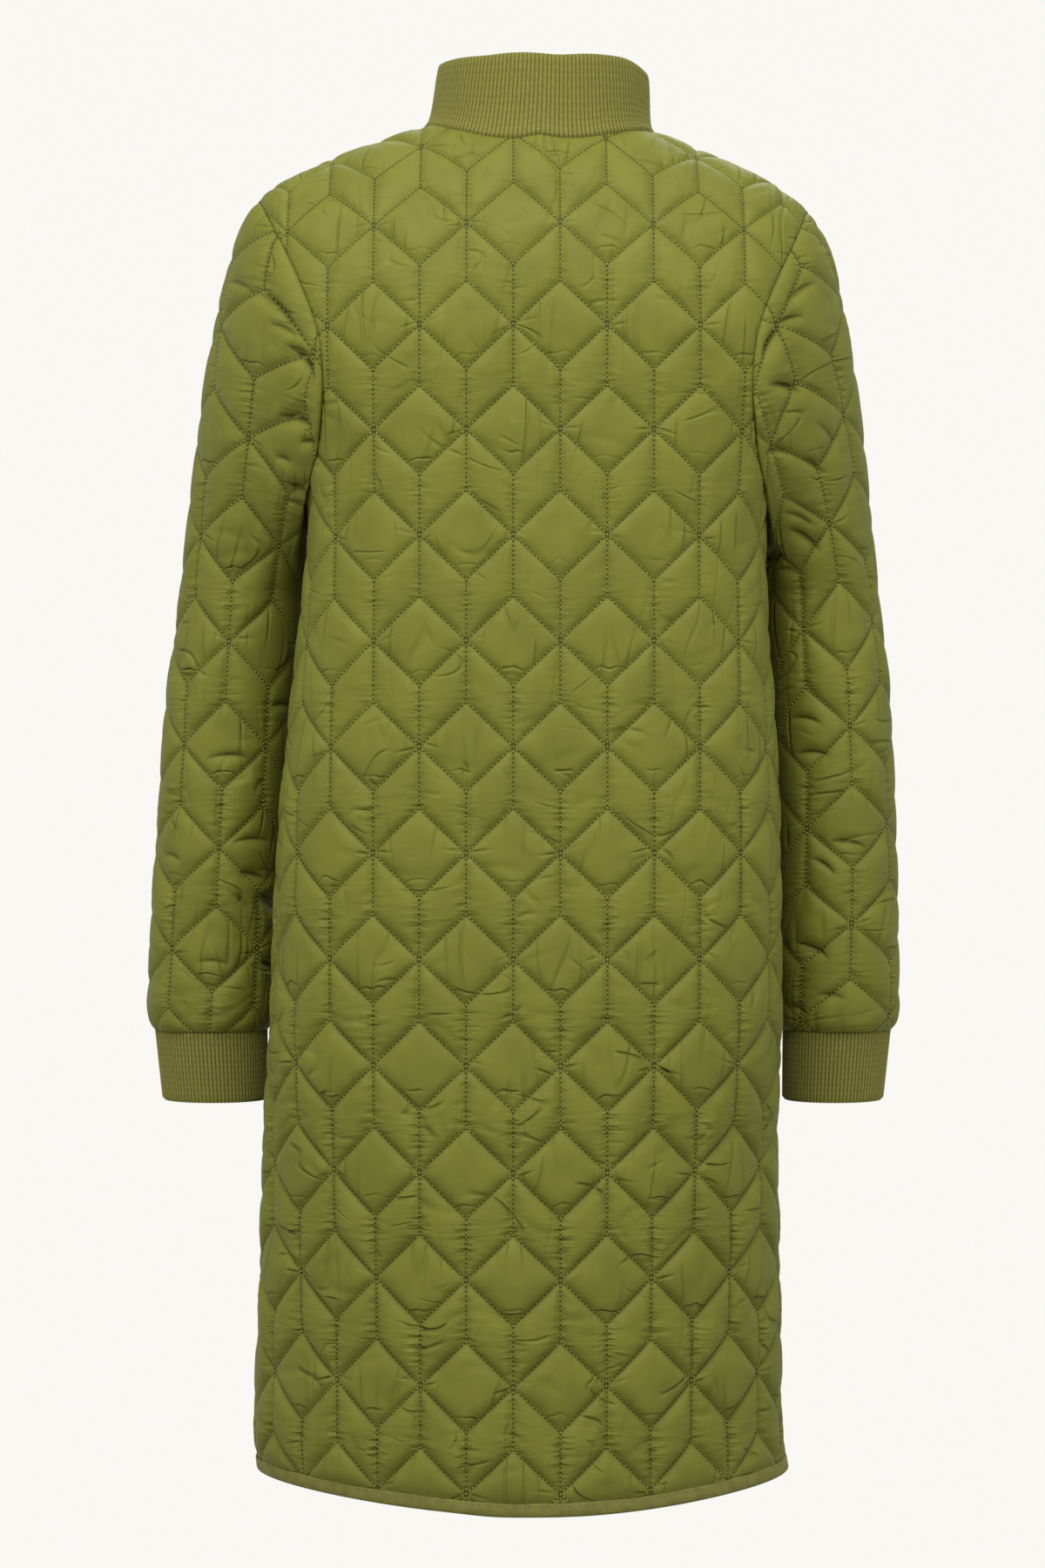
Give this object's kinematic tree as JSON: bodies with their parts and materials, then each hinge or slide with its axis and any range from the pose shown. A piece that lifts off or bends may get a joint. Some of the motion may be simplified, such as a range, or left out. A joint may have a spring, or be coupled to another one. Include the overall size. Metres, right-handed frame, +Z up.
{
  "type": "long quilted jacket",
  "caption": "Knee-length quilted jacket filled out as if worn, with a ribbed stand collar, ribbed cuffs, set-in sleeves, a bound hem and a front zip.",
  "frame": {"origin": "middle of the neck at the level of the side neck points, where the jacket hangs on a wearer's shoulders", "axes": "+Z up, the back faces -Y, the front faces +Y, the wearer's left is at -X"},
  "size_m": [0.5617, 0.2793, 1.033],
  "materials": {
    "quilted_microfibre": "soft satin microfibre, stitched",
    "rib_knit": "matt rib knit",
    "binding_tape": "matt woven tape",
    "coil_teeth": "dyed nylon",
    "painted_zinc": "painted, semi-matt"
  },
  "bodies": {
    "coat": {"back": "quilted_microfibre", "front_left": "quilted_microfibre", "front_right": "quilted_microfibre", "sleeve_left": "quilted_microfibre", "sleeve_right": "quilted_microfibre", "collar": "rib_knit", "cuff_left": "rib_knit", "cuff_right": "rib_knit", "hem_binding": "binding_tape", "zip_tape_left": "binding_tape", "zip_tape_right": "binding_tape", "zip_chain": "coil_teeth", "zip_slider": "painted_zinc"},
    "pull": {"zip_pull": "painted_zinc"}
  },
  "joints": [
    {"name": "zip_pull_swing", "type": "hinge", "parent": "coat", "child": "pull", "pos_m": [0.01091, 0.0832, -0.01879], "axis": [1, 0, 0], "range_deg": [0, 150]}
  ]
}
